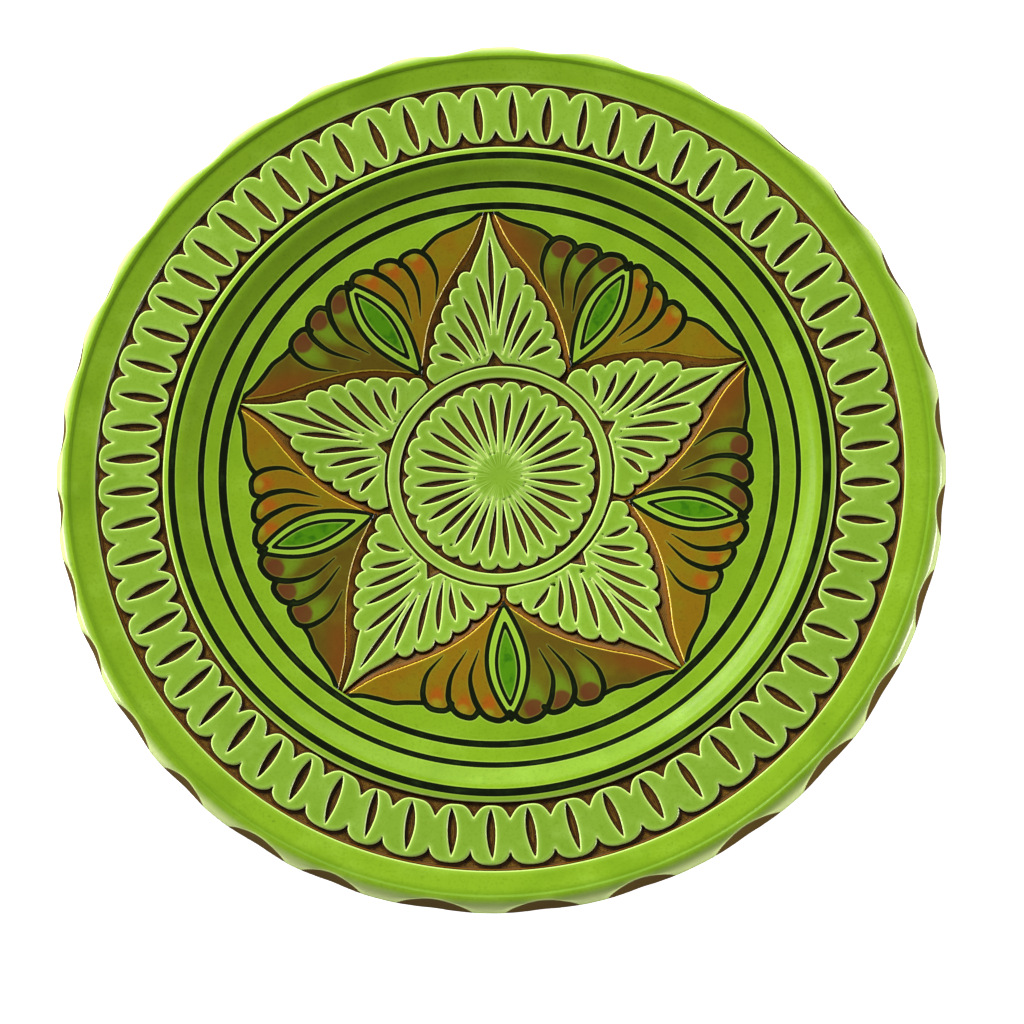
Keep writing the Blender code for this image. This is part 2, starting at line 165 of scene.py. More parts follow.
def fill_in(points, step=0.12):
    """The same closed outline with points close together, its corners kept."""
    runs = []
    for a, b in zip(points, np.roll(points, -1, 0)):
        count = max(1, int(np.hypot(*(b - a)) / step))
        runs.append(a + (b - a) * np.linspace(0, 1, count, endpoint=False)[:, None])
    return np.vstack(runs)


def lens(near, far, width, belly=0.5, bend=0.0, blunt=0.8):
    """A gouge cut, pointed at both ends, widest at belly of its length; it runs clockwise."""
    t = np.linspace(0, 1, 40)
    power = np.log(0.5) / np.log(belly)
    half = width / 2 * np.sin(pi * t**power) ** blunt
    way = far - near
    side = np.array([-way[1], way[0]]) / np.hypot(*way)
    line = near + way * t[:, None] + side * (bend * np.sin(pi * t))[:, None]
    return np.vstack([line + side * half[:, None], (line - side * half[:, None])[-2:0:-1]])


def lobes(notches, height, lean=1.0, form=(2.2, 0.7), steps=24):
    """Lobes that stand to the right of the way through the notches; form sets how blunt they are."""
    t = np.linspace(0, 1, steps, endpoint=False)
    rise = (1 - np.abs(2 * t**lean - 1) ** form[0]) ** form[1]
    run = []
    heights = np.broadcast_to(height, len(notches) - 1)
    for start, end, tall in zip(notches, notches[1:], heights):
        way = end - start
        side = np.array([way[1], -way[0]]) / np.hypot(*way)
        run.append(start + way * t[:, None] + side * (tall * rise)[:, None])
    return np.vstack([*run, notches[-1:]])


class Drawing:
    """Outlines with the coat on their left, which tell how far any point is inside the coat."""

    def __init__(self, loops):
        points, inward = [], []
        for loop in loops:
            loop = fill_in(np.asarray(loop))
            along = np.roll(loop, -1, 0) - np.roll(loop, 1, 0)
            along /= np.maximum(np.hypot(along[:, 0], along[:, 1]), 1e-9)[:, None]
            points.append(loop)
            inward.append(np.stack([-along[:, 1], along[:, 0]], -1))
        self.points, self.inward = np.vstack(points), np.vstack(inward)
        self.tree = tree_of(self.points)

    def depth(self, x, y):
        """Distance of plan points into the coat, negative over the cuts."""
        index, distance = nearest(self.tree, x, y)
        off = np.stack([x, y], -1) - self.points[index]
        straight = (off * self.inward[index]).sum(-1)
        return np.where(np.abs(distance) < 0.35, straight, np.sign(straight) * distance)


def tree_of(points):
    """Plan points sorted for finding the nearest one."""
    tree = KDTree(len(points))
    for index, (px, py) in enumerate(points):
        tree.insert((px, py, 0), index)
    tree.balance()
    return tree


def nearest(tree, x, y):
    """Index of the nearest drawn point to each plan point, and how far it is."""
    found = [tree.find((px, py, 0))[1:] for px, py in zip(x.ravel().tolist(), y.ravel().tolist())]
    index, distance = zip(*found)
    return np.array(index).reshape(x.shape), np.array(distance).reshape(x.shape)


def brushed(strokes, x, y):
    """How deep each point lies inside the nearest stroke; a stroke's rows are x, y and half its width."""
    rows = np.vstack(strokes)
    index, distance = nearest(tree_of(rows[:, :2]), x, y)
    return rows[index, 2] - distance


def inside(x, y, outline):
    """Whether plan points lie inside a closed outline."""
    found = np.zeros(x.shape, bool)
    for (ax, ay), (bx, by) in zip(outline, np.roll(outline, -1, 0)):
        if ay != by:
            found ^= ((ay > y) != (by > y)) & (x < ax + (bx - ax) * (y - ay) / (by - ay))
    return found


# Meshes -------------------------------------------------------------------------------------------

def square_grid(low, high, step):
    """Plan points on a square net, and its faces."""
    x, y = np.meshgrid(np.arange(low[0], high[0], step), np.arange(low[1], high[1], step), indexing="ij")
    return x, y, net_faces(x.shape, False)


def ring_grid(radii, columns):
    """Plan points on a net of rings, and its faces."""
    r, turn = np.meshgrid(radii, np.linspace(0, tau, columns, endpoint=False), indexing="ij")
    return r, turn, net_faces(r.shape, True)


def net_faces(shape, closed):
    """Faces between the rows and columns of a net; a closed one joins its last column to its first."""
    rows, columns = shape
    i, j = np.meshgrid(np.arange(rows - 1), np.arange(columns - (not closed)), indexing="ij")
    k = (j + 1) % columns
    here, next_row = i * columns, (i + 1) * columns
    return np.stack([here + j, next_row + j, next_row + k, here + k], -1).reshape(-1, 4)


def lay(name, x, y, z, faces, finish, nodes, marks=None):
    """Make one piece from points in mm, ride it and hide the pieces of the model it stands for."""
    used = np.unique(faces)
    place = np.zeros(x.size, np.int32)
    place[used] = np.arange(len(used), dtype=np.int32)
    corners = place[faces].astype(np.int32)
    points = np.stack([x.ravel(), y.ravel(), z.ravel()], -1)[used] * MM
    mesh = bpy.data.meshes.new(name)
    mesh.vertices.add(len(points))
    mesh.vertices.foreach_set("co", points.astype(np.float32).ravel())
    mesh.loops.add(corners.size)
    mesh.loops.foreach_set("vertex_index", corners.ravel())
    mesh.polygons.add(len(corners))
    mesh.polygons.foreach_set("loop_start", np.arange(0, corners.size, 4, dtype=np.int32))
    mesh.update(calc_edges=True)
    for mark, values in (marks or {}).items():
        layer = mesh.attributes.new(mark, "FLOAT", "POINT")
        layer.data.foreach_set("value", np.broadcast_to(values, x.shape).ravel()[used].astype(np.float32))
    mesh.shade_smooth()
    mesh.materials.append(finish)
    piece = bpy.data.objects.new(name, mesh)
    bpy.context.scene.collection.objects.link(piece)
    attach(piece, "root")
    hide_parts(*nodes)
    return piece


def coat_drop(depth):
    """How far the coat's top sinks near a cut: a soft rounded shoulder, then the steep wall."""
    shoulder = 0.18 * np.clip(1 - depth / 0.55, 0, 1) ** 2
    return np.where(depth >= 0, shoulder, 0.18 + np.clip(-depth, 0, 0.7) * 3.4)


def gouge_bed(depth):
    """How deep a gouge cut's clay lies below the face: shallow by the wall, deepest in the middle."""
    return 0.60 + 0.55 * np.clip((-depth - 0.2) / 1.1, 0, 1)


def touching(faces, keep):
    """The faces with any corner that is kept."""
    return faces[keep.ravel()[faces].any(1)]


# Finishes -----------------------------------------------------------------------------------------

def linear(code):
    """An sRGB hex colour as linear red, green, blue and 1."""
    parts = [int(code[i:i + 2], 16) / 255 for i in (1, 3, 5)]
    return (*(p / 12.92 if p <= 0.04045 else ((p + 0.055) / 1.055) ** 2.4 for p in parts), 1)


def add(material, kind, inputs=None, **settings):
    """Add a node with its settings; an input is a value or another node's output."""
    node = material.node_tree.nodes.new(kind)
    for key, value in settings.items():
        setattr(node, key, value)
    for key, value in (inputs or {}).items():
        if isinstance(value, bpy.types.NodeSocket):
            material.node_tree.links.new(value, node.inputs[key])
        else:
            node.inputs[key].default_value = value
    return node


def share(material, source, start, end):
    """A smooth 0 to 1 as a mark, or another output, goes from start to end."""
    if isinstance(source, str):
        source = add(material, "ShaderNodeAttribute", attribute_name=source).outputs["Fac"]
    span = {"Value": source, "From Min": start, "From Max": end}
    return add(material, "ShaderNodeMapRange", span, interpolation_type="SMOOTHSTEP").outputs["Result"]


def grain(material, size_mm, detail=2.0, stretch=(1, 1, 1), rough=0.5):
    """Irregular mottling whose patches are about this size across, from 0 to 1."""
    place = add(material, "ShaderNodeTexCoord").outputs["Object"]
    if stretch != (1, 1, 1):
        place = add(material, "ShaderNodeMapping", {"Vector": place, "Scale": stretch}).outputs["Vector"]
    noise = {"Vector": place, "Scale": 1 / (size_mm * MM), "Detail": detail, "Roughness": rough}
    return add(material, "ShaderNodeTexNoise", noise).outputs["Fac"]


def laid_over(material, ground, layers):
    """Colours laid one over another; each layer is a colour, how much of it, and how it mixes."""
    for colour, much, *how in layers:
        tint = linear(colour) if isinstance(colour, str) else colour
        mix = {"Factor": much, "A": ground, "B": tint}
        node = add(material, "ShaderNodeMix", data_type="RGBA", blend_type=how[0] if how else "MIX")
        for key, value in mix.items():
            socket = next(s for s in node.inputs if s.name == key and s.enabled)
            if isinstance(value, bpy.types.NodeSocket):
                material.node_tree.links.new(value, socket)
            else:
                socket.default_value = value
        ground = next(s for s in node.outputs if s.enabled)
    return ground


def product(material, *parts):
    """The product of several shares."""
    result = parts[0]
    for part in parts[1:]:
        result = add(material, "ShaderNodeMath", {0: result, 1: part}, operation="MULTIPLY").outputs[0]
    return result


def glazed(name, colour_of, roughness, bump_mm, wave=0.35, shine=0.5):
    """A finish under lead glaze: colour_of lays its colours, and a faint orange peel breaks its shine."""
    material = bpy.data.materials.new(name)
    material.use_nodes = True
    shader = material.node_tree.nodes["Principled BSDF"]
    shader.inputs["Roughness"].default_value = roughness
    shader.inputs["IOR"].default_value = 1.52
    shader.inputs["Specular IOR Level"].default_value = shine
    material.node_tree.links.new(colour_of(material), shader.inputs["Base Color"])
    peel = grain(material, bump_mm, 2.0)
    bump = add(material, "ShaderNodeBump", {"Height": peel, "Strength": wave, "Distance": 0.05 * MM})
    material.node_tree.links.new(bump.outputs["Normal"], shader.inputs["Normal"])
    return material


LINE_INK = "#0b1402"
CREAM = "#c9e27c"
# Radians of the furrows' wave to a millimetre, which sets them about 0.5 mm apart
FURROW_WAVE = 13


def green_over_slip(material, body, light, dark, edge="edge_mm"):
    """Green glaze over pale slip: it pools darker in places, and thins to cream along each cut."""
    ground = laid_over(material, linear(body), [
        (dark, product(material, share(material, grain(material, 22, 3), 0.47, 0.72), 0.5)),
        (light, product(material, share(material, grain(material, 13, 3, (1, 1.3, 1)), 0.50, 0.75), 0.4)),
        # Fine mottling of the glaze, 0.6 mm in the fired surface and drawn at 0.9 mm so that it shows
        (dark, product(material, share(material, grain(material, 0.9, 3, rough=0.7), 0.47, 0.74), 0.65)),
        # Specks of iron
        ("#5c7a14", product(material, share(material, grain(material, 1.6, 0), 0.84, 0.90), 0.5)),
    ])
    if edge:
        ground = laid_over(material, ground, [
            (light, product(material, share(material, edge, 1.9, 0.3), 0.55)),
            (CREAM, product(material, share(material, edge, 0.52, 0.30), 0.85)),
            ("#3a1f08", share(material, edge, 0.06, -0.08)),
        ])
    return ground


def inked(material, ground, margin=0.45):
    """Dark brushed line with the thin pale margin where the glaze draws away from it."""
    thin_ink = share(material, grain(material, 5, 2), 0.45, 0.7)
    return laid_over(material, ground, [
        ("#b4d65a", product(material, share(material, "line_mm", -0.55, -0.15), margin)),
        (LINE_INK, share(material, "line_mm", -0.12, 0.04)),
        ("#1c2a0c", product(material, share(material, "line_mm", 0.35, 0.75), thin_ink)),
    ])


def plain_green(material):
    """Smooth green glaze on plain slip, with the wheel-brushed lines under it: even, wet and deep."""
    return inked(material, green_over_slip(material, "#82aa1e", "#96c03a", "#6e9714"))


def carved_green(material):
    """Green over carved slip; the rosette's middle keeps the fine rays the gouge left as it came in."""
    bearing = add(material, "ShaderNodeTexCoord").outputs["Object"]
    for how, operands in (("MULTIPLY", {1: (1, 1, 0)}), ("NORMALIZE", {})):
        bearing = add(material, "ShaderNodeVectorMath", {0: bearing, **operands}, operation=how).outputs[0]
    rays = add(material, "ShaderNodeTexNoise", {"Vector": bearing, "Scale": 14, "Detail": 2}).outputs["Fac"]
    middle = share(material, "burst", 0, 1)
    ground = green_over_slip(material, "#82aa30", "#9cc452", "#6f981e")
    return laid_over(material, ground, [
        ("#6b961c", product(material, share(material, rays, 0.50, 0.64), middle, 0.7)),
        ("#b4d66c", product(material, share(material, rays, 0.48, 0.36), middle, 0.6)),
    ])


def border_green(material):
    """The same green on the rim, where it runs thin over the roll and thick in the crease; a painted
    highlight on the roll and painted shade in the crease.
    """
    ground = green_over_slip(material, "#82aa20", "#98c03c", "#6c9414")
    on_roll, under_roll = share(material, "bead_mm", 0.6, 3.8), share(material, "bead_mm", 7.2, 4.8)
    return laid_over(material, ground, [
        # It thins over the roll of the bead and lets the slip shine through; the pale colour is also a
        # painted highlight on the roll
        ("#d2e096", product(material, on_roll, under_roll, 0.85)),
        # The glaze pools darker in the crease under the bead, and this dark green is partly painted shade
        # there
        ("#5c870f", product(material, share(material, "crease_mm", 2.4, 0.0), 0.45)),
    ])


def amber_wash(material):
    """Palmette washes, amber on one half and brown on the other; both let green through near the lobes."""
    amber = laid_over(material, linear("#86660a"), [
        ("#80700c", share(material, grain(material, 9, 2), 0.42, 0.70)),
        ("#a0500c", product(material, share(material, "spot", 0.15, 0.9), 0.85)),
        ("#8a9c20", product(material, share(material, "bare_amber", 0.35, 1.0), 0.55)),
    ])
    brown = laid_over(material, linear("#5c4c0e"), [
        ("#66600f", share(material, grain(material, 8, 2), 0.42, 0.70)),
        ("#74400f", product(material, share(material, "blush", 0.1, 1.0), 0.8)),
        ("#6a8e1a", product(material, share(material, "bare_brown", 0.10, 1.0), 0.8)),
        ("#62331a", product(material, share(material, "spot_brown", 0.30, 0.58), 0.92)),
    ])
    mottling = grain(material, 0.9, 3, rough=0.7)
    ground = laid_over(material, amber, [
        (brown, share(material, "anticlockwise_mm", -0.8, 0.8)),
        # Brush drag and glaze mottling, drawn at 0.9 mm
        ("#4a3a08", product(material, share(material, mottling, 0.50, 0.80), 0.5)),
        # The coat's bright yellow rim and the clay of the cut past it
        ("#e2c53a", share(material, "edge_mm", 0.42, 0.25)),
        ("#9a5516", share(material, "edge_mm", 0.05, -0.05)),
    ])
    return inked(material, ground, 0.12)


def seed_green(material):
    """Bright green with a pool of deep copper green in the kernel, where the brush left most of it."""
    pool = share(material, grain(material, 3, 3), 0.45, 0.7)
    ground = laid_over(material, linear("#8bb42c"), [
        ("#6d9814", share(material, grain(material, 6, 2), 0.5, 0.8)),
        ("#4a8408", share(material, "seed_mm", -0.1, 0.3)),
        ("#2f6a06", product(material, pool, share(material, "seed_mm", 0.4, 1.6))),
    ])
    return inked(material, ground)


def cut_clay(material):
    """Gouged brown clay under the glaze, with painted shade black in the corners and a painted highlight
    down the middle of each bed; warm where the tool burnished it.
    """
    streak = grain(material, 0.7, 3, rough=0.6)
    ridge_highlight = share(material, "ridge_highlight", 0.42, 0.62)
    wall = add(material, "ShaderNodeAttribute", attribute_name="bed_mm").outputs["Fac"]
    sway = product(material, grain(material, 2.5, 2), 7)
    furrow = add(material, "ShaderNodeMath", {0: wall, 1: FURROW_WAVE, 2: sway}, operation="MULTIPLY_ADD")
    furrow = add(material, "ShaderNodeMath", {0: furrow.outputs[0]}, operation="SINE").outputs[0]
    return laid_over(material, linear("#56360f"), [
        # Painted highlight: paler brown down the middle of each bed, away from its walls
        ("#7c5a1e", product(material, ridge_highlight, share(material, "bed_mm", 0.5, 1.0))),
        ("#241606", share(material, streak, 0.50, 0.74)),
        # The gouge's edge left fine furrows along each cut, about 0.5 mm apart
        ("#2a1806", product(material, share(material, furrow, 0.1, 0.8), 0.7)),
        ("#80500f", product(material, share(material, "warm", 0.2, 0.9), 0.85)),
        # Painted shade: near-black at the foot of each wall, partly glaze pooled there
        ("#180c05", share(material, "bed_mm", 0.46, 0.12)),
    ])


def turned_clay(material):
    """Brown clay under a thin clear glaze: dull, and a little paler where the knife scooped it."""
    return laid_over(material, linear("#4c360f"), [
        ("#5c4314", share(material, grain(material, 12, 4), 0.45, 0.7)),
        ("#40290d", share(material, grain(material, 1.4, 3, rough=0.7), 0.55, 0.8)),
        ("#58430e", share(material, "scooped", 0.3, 0.9)),
    ])


def bare_clay(material):
    """Unglazed fired clay where the foot was wiped clean to stand in the kiln."""
    return laid_over(material, linear("#8a5a32"), [
        ("#a5744a", share(material, grain(material, 8, 4), 0.45, 0.7)),
        ("#5c3a1e", share(material, grain(material, 0.9, 3, rough=0.7), 0.58, 0.8)),
    ])


# Lead glaze is glassy, so it is nearly smooth, with peel 4 to 5 mm across; clay under it is duller.
# After the colours come the roughness, the size of the surface's waves in mm, their strength and the shine
GREEN = glazed("green_lead_glaze_over_slip", plain_green, 0.16, 5)
BORDER = glazed("green_lead_glaze_on_the_rim", border_green, 0.16, 5)
CARVED = glazed("light_glaze_on_carved_slip", carved_green, 0.18, 4)
WASH = glazed("amber_and_brown_oxide_washes", amber_wash, 0.20, 4)
SEED = glazed("deep_copper_green_seed", seed_green, 0.16, 4)
CLAY = glazed("gouged_clay_under_glaze", cut_clay, 0.26, 0.8, 0.6)
BODY = glazed("thrown_clay_under_thin_glaze", turned_clay, 0.42, 1.5, 0.5, 0.15)
FOOT_CLAY = glazed("bare_fired_clay", bare_clay, 0.75, 0.9, 0.8)


# The turned bands ---------------------------------------------------------------------------------

def wander(turn, size, seed):
    """The slow wander of a hand-held brush round the wheel, in mm."""
    phases = np.random.default_rng(seed).uniform(0, tau, 6)
    return size * sum(np.sin((k + 1) * turn + p) / (k + 1) ** 0.5 for k, p in enumerate(phases)) / 2


def turned_bands():
    """Crest, cavetto and well's edge in one glazed sweep, with three lines brushed on the wheel."""
    radii = [np.arange(PANEL - 0.35, CREST - 0.6, 0.36), np.arange(CREST - 0.5, CREST + 0.75, 0.14)]
    r, turn, faces = ring_grid(np.concatenate(radii), 900)
    x, y = r * np.cos(turn), r * np.sin(turn)
    edge = CREST - r + wander(turn, 0.08, 1)
    lines = []
    brushed_lines = ((RIM_LINE, WIDE_LINE), (LINE_OUT, NARROW_LINE), (LINE_IN, WIDE_LINE))
    for seed, (outer, width) in enumerate(brushed_lines):
        middle = outer - width / 2 + wander(turn, 0.16, seed + 2)
        lines.append(width / 2 + wander(turn, 0.12, seed + 12) - np.abs(r - middle))
    z = face(x, y) + 0.03 - coat_drop(edge)
    marks = {"edge_mm": edge, "line_mm": np.max(lines, 0)}
    nodes = ["crest_band", "rim_line", "cavetto_band"]
    nodes += ["well_line_outer", "well_edge_band", "well_line_inner"]
    lay("turned_bands", x, y, z, faces, GREEN, nodes, marks)


# The rim ------------------------------------------------------------------------------------------

SCOOP_DEPTH = 1.3
SCOOP_FACING = radians(72)


def scoop_depth(turn):
    """How deep the edge is scooped at each turn, 0 on the scallops between."""
    return SCOOP_DEPTH * np.clip(1 - scoop_share(turn) ** 2, 0, 1)


def coat_end(turn):
    """Bead angle at which the coat ends: far under the edge, but drawn back over each scoop."""
    return radians(23) + radians(84) * np.clip(scoop_share(turn), 0, 1) ** 2.4


def scoop_share(turn):
    """How far each turn is from the middle of its scoop: 0 there, 1 at its end, more between scoops."""
    # The potter's eye let the scoops drift once and twice round the edge
    drift = -0.307 * np.sin(turn) - 0.205 * np.cos(turn)
    drift += 0.234 * np.sin(2 * turn) - 0.133 * np.cos(2 * turn)
    phase = SCOOPS * turn / tau + 1.40 + drift
    index = np.floor(phase).astype(int) % SCOOPS
    middle, half = np.random.default_rng(5).uniform(-1, 1, (2, SCOOPS))
    return np.abs(phase - np.floor(phase) - 0.5 - 0.06 * middle[index]) / (0.375 + 0.04 * half[index])


def bead(angle, turn, shrink=0.0):
    """Radius, height and depth of cut of the rolled edge; a knife took flat scoops off it."""
    steepest = 1.35
    aside = np.clip(angle - SCOOP_FACING, -steepest, steepest)
    flat = (BEAD - scoop_depth(turn)) / np.cos(aside)
    size = np.minimum(BEAD, flat) - shrink
    return BEAD_R + size * np.sin(angle), BEAD_Z + size * np.cos(angle), BEAD - size - shrink


def rim_border():
    """The plain border and the bead, up to where the scoops cut through the coat."""
    wall = np.arange(BORDER_IN - 0.75, BORDER_IN + 0.6, 0.14)
    flat = np.arange(BORDER_IN + 0.8, BEAD_R - 0.3, 0.45)
    angles = np.radians(np.arange(0, 109, 3.4))
    # Past the bead's start, the net's first measure is the bead's angle and not a radius
    r, turn, faces = ring_grid(np.concatenate([wall, flat, BEAD_R + angles]), SCOOPS * 36)
    rolled = r >= BEAD_R
    angle = np.where(rolled, r - BEAD_R, 0)
    to_end = np.where(rolled, (coat_end(turn) - angle) * BEAD, 9)
    bead_r, bead_z, _ = bead(angle, turn, 0.5 * np.clip(-to_end, 0, 0.6))
    r = np.where(rolled, bead_r, r)
    x, y = r * np.cos(turn), r * np.sin(turn)
    edge = r - BORDER_IN - wander(turn, 0.10, 21)
    sway = face(x, y) - np.interp(np.hypot(x, y), FACE_R, FACE_Z)
    crease = np.abs(r - (BEAD_R - 0.3))
    flat = face(x, y) - coat_drop(edge) - 0.12 * np.exp(-(crease / 1.3) ** 2)
    z = np.where(rolled, bead_z + sway, flat)
    z = z + np.where(rolled, 0.05, 0)
    crease = np.where(rolled & (angle > 0.1), 9, crease)
    marks = {"edge_mm": np.minimum(edge, to_end), "crease_mm": crease, "bead_mm": angle * BEAD}
    lay("rim_border", x, y, z, touching(faces, to_end > -0.5), BORDER, ["rim_border"], marks)


def clay_body():
    """The body: scooped edge, thrown underside with finger rings, and the ground under the coat."""
    angles = np.radians(np.arange(0, 118, 3.6))
    low = top("foot_ring") + 0.3
    # The underside's section from the bead to the middle, as radii and heights
    under_r = [EDGE - 1.2, BEAD_R, 126, 118, 110, 102, 96, 91.6, 87, 83, 79, FOOT + 2, FOOT, 60, 40, 20, 0.5]
    under_z = [BEAD_Z - 2.6, BEAD_Z - 2.9, 17.2, 16.6, 16.1, 15.6, 13.8, 12.0, 11.0, 10.0, 7.6, *[low] * 6]
    pieces = 5
    runs = [np.linspace(a, b, pieces, endpoint=False) for a, b in zip(under_r, under_r[1:])]
    fine = np.concatenate([*runs, under_r[-1:]])
    share_of_way = np.arange(len(fine)) / pieces
    rings = np.sin(fine * 1.15) * 0.10
    fine_z = np.interp(share_of_way, np.arange(len(under_z)), under_z) + np.where(fine < EDGE - 6, rings, 0)
    ground = np.array([0.5, 20, 40, 60, WELL, LINE_OUT, CREST, BORDER_IN, BEAD_R - 2])
    ground_z = np.interp(ground, FACE_R, FACE_Z) - 2.2
    count = SCOOPS * 24
    rows = len(ground) + len(angles) + len(fine)
    turn = np.broadcast_to(np.linspace(0, tau, count, endpoint=False), (rows, count))
    edge_r, edge_z, cut = bead(angles[:, None], turn[:len(angles)], 0.06)
    r = np.vstack([np.repeat(ground[:, None], count, 1), edge_r, np.repeat(fine[:, None], count, 1)])
    z = np.vstack([np.repeat(ground_z[:, None], count, 1), edge_z, np.repeat(fine_z[:, None], count, 1)])
    x, y = r * np.cos(turn), r * np.sin(turn)
    above, below = np.zeros((len(ground), count)), np.zeros((len(fine), count))
    marks = {"scooped": np.vstack([above, cut > 0.15, below])}
    sway = face(x, y) - np.interp(np.hypot(x, y), FACE_R, FACE_Z)
    faces = net_faces(r.shape, True)
    lay("clay_body", x, y, z + sway * (r > 80), faces, BODY, ["clay_body"], marks)


def foot_ring():
    """The turned foot, its corners softened, wiped clean where it stands."""
    inner, outer, high = FOOT - 8, FOOT, top("foot_ring") + 0.5
    # From the plate down one side, as distances past the side and heights; the other side mirrors it
    side = ((1.6, high), (0.5, high - 0.8), (0, high - 2.2), (-0.15, 1.3), (-0.6, 0.4), (-1.5, 0.02))
    section = [(outer + past, z) for past, z in side] + [(outer - 4, 0)]
    section += [(inner - past, z) for past, z in side[::-1]]
    profile = curve(section, 0.5)
    turn = np.broadcast_to(np.linspace(0, tau, 300, endpoint=False), (len(profile), 300))
    r = profile[:, :1] + 0.12 * np.sin(2 * turn + 1)
    z = np.maximum(profile[:, 1:] + 0 * turn, 0)
    x, y = r * np.cos(turn), r * np.sin(turn)
    lay("foot_ring", x, y, z, net_faces(r.shape, True), FOOT_CLAY, ["foot_ring"])


# The petal frieze ---------------------------------------------------------------------------------

PETAL_LOBE_OUT = 4.1
PETAL_LOBE_IN = 3.9
PETAL_CUT_WIDTH = 2.8


def petal_frieze():
    """The ring of petals: round lobes out and in, a lens cut down each, and the clay bed round them."""
    jitter = HAND.uniform(-1, 1, (7, PETALS))
    turn = np.linspace(0, tau, 3600)
    # The carver set the petals closer on one side of the plate than on the other
    drift = -0.625 * np.sin(turn) - 0.657 * np.cos(turn) + 0.145 * np.sin(2 * turn)
    count = PETALS * turn / tau + 0.70 + drift
    starts = np.degrees(np.interp(np.arange(PETALS) + 1 + 0.07 * jitter[0], count, turn))
    starts = np.sort(starts % 360)
    ends = np.append(starts[1:], starts[0] + 360)
    outer_end = PETAL_OUT + 0.45 * np.cos(np.radians(starts - 130)) - 0.1
    outer = polar(outer_end - PETAL_LOBE_OUT + 0.35 * jitter[1], starts)
    inner = polar(PETAL_IN + PETAL_LOBE_IN + 0.5 * jitter[2], starts + 0.1)
    outer_height, inner_height = PETAL_LOBE_OUT + 0.25 * jitter[3], PETAL_LOBE_IN + 0.3 * jitter[4]
    outside = lobes(np.vstack([outer, outer[:1]]), outer_height, 0.95, (2.5, 0.60))[:-1]
    inside_lobes = lobes(np.vstack([inner, inner[:1]]), -inner_height, 1.0, (3.2, 1.15))[:-1]
    cuts = []
    for k in range(PETALS):
        middle = (starts[k] + ends[k]) / 2
        near = polar(PETAL_IN + 0.9 + 0.35 * jitter[5][k], middle - 0.25 + 0.35 * jitter[6][k])
        far = polar(outer_end[k] - 2.3 + 0.7 * jitter[3][k], middle + 0.3)
        width = PETAL_CUT_WIDTH + 0.3 * jitter[4][k]
        cuts.append(lens(near, far, width, 0.46, 0.3 * jitter[2][k]))
    drawing = Drawing([outside, inside_lobes[::-1], *cuts])
    r, turn, faces = ring_grid(np.arange(CREST - 0.8, BORDER_IN + 0.8, 0.36), PETALS * 29)
    x, y = r * np.cos(turn), r * np.sin(turn)
    depth = drawing.depth(x, y)
    z = face(x, y)
    coat = touching(faces, depth > -0.5)
    nodes = ["petal_frieze"]
    marks = {"edge_mm": depth}
    lay("petal_frieze", x, y, z - coat_drop(depth), coat, CARVED, nodes, marks)
    to_border = BORDER_IN - r
    to_crest = r - CREST
    wall = np.minimum(-depth, np.minimum(to_border, to_crest))
    bed = 0.85 + 0.55 * np.clip((-depth) / 1.2, 0, 1) - 0.35 * np.clip((wall - 0.5) / 1.5, 0, 1)
    bed = np.where(to_border < 1.1, np.minimum(bed, 0.45 + 0.8 * np.clip(to_border, -1, 2)), bed)
    warm = np.clip(1 - np.abs(to_border - 0.45) / 0.45, 0, 1) * (depth < -0.25)
    marks = {"bed_mm": wall, "warm": warm, "ridge_highlight": np.clip(wall / 2, 0, 1)}
    z = z - np.where(depth > 0, 1.2, bed)
    lay("petal_bed", x, y, z, touching(faces, depth < 0.5), CLAY, ["clay_body"], marks)


# The star -----------------------------------------------------------------------------------------

# Swell of a painted panel's edge past the straight way from valley to tip: share of the way, and mm
OGEE = ((0, 1.0), (0.10, 2.6), (0.26, 4.4), (0.42, 4.5), (0.60, 3.0), (0.77, 1.0), (0.90, 0.7), (1, 0.9))
WAY_POINTS = 160


def panel_side(valley, tip, inset=0.0):
    """The edge of a painted panel from its valley to the star's tip, moved towards the leaf by inset."""
    a, b = polar(VALLEY, valley), polar(STAR, tip)
    way = b - a
    side = np.array([-way[1], way[0]]) / np.hypot(*way)
    side = side if side @ a > 0 else -side
    bend = curve([(s * 100, swell) for s, swell in OGEE], 1.0)
    s = np.linspace(0, 1, WAY_POINTS)
    swell = np.interp(s, bend[:, 0] / 100, bend[:, 1])
    return a + way * s[:, None] + side * (swell - inset)[:, None]


# Notches along one side of a leaf: share of the way from valley to tip, and mm in from the panel's edge
LEAF_NOTCHES = ((0.0, 2.9), (0.10, 3.9), (0.205, 4.2), (0.315, 4.2), (0.425, 4.3), (0.53, 4.6), (0.635, 4.7))
LEAF_LOBE = 2.15
LEAF_CUT_WIDTH = 1.75
# The plain spear above them, the same way
LEAF_SPEAR = ((0.67, 4.0), (0.72, 3.3), (0.80, 2.8), (0.87, 2.3), (0.93, 1.8))
# Gouge cuts of half a leaf: aside and out from the ring's cut, in mm, at the inner and the outer end
LEAF_CUTS = (
    ((0.0, 13.6), (0.0, 38.4)),
    ((1.0, 8.4), (4.9, 27.3)),
    ((2.3, 3.6), (9.1, 21.4)),
    ((4.3, 1.2), (12.3, 16.0)),
    ((6.9, 0.3), (14.8, 10.0)),
    ((10.2, -0.9), (17.7, 3.7)),
)


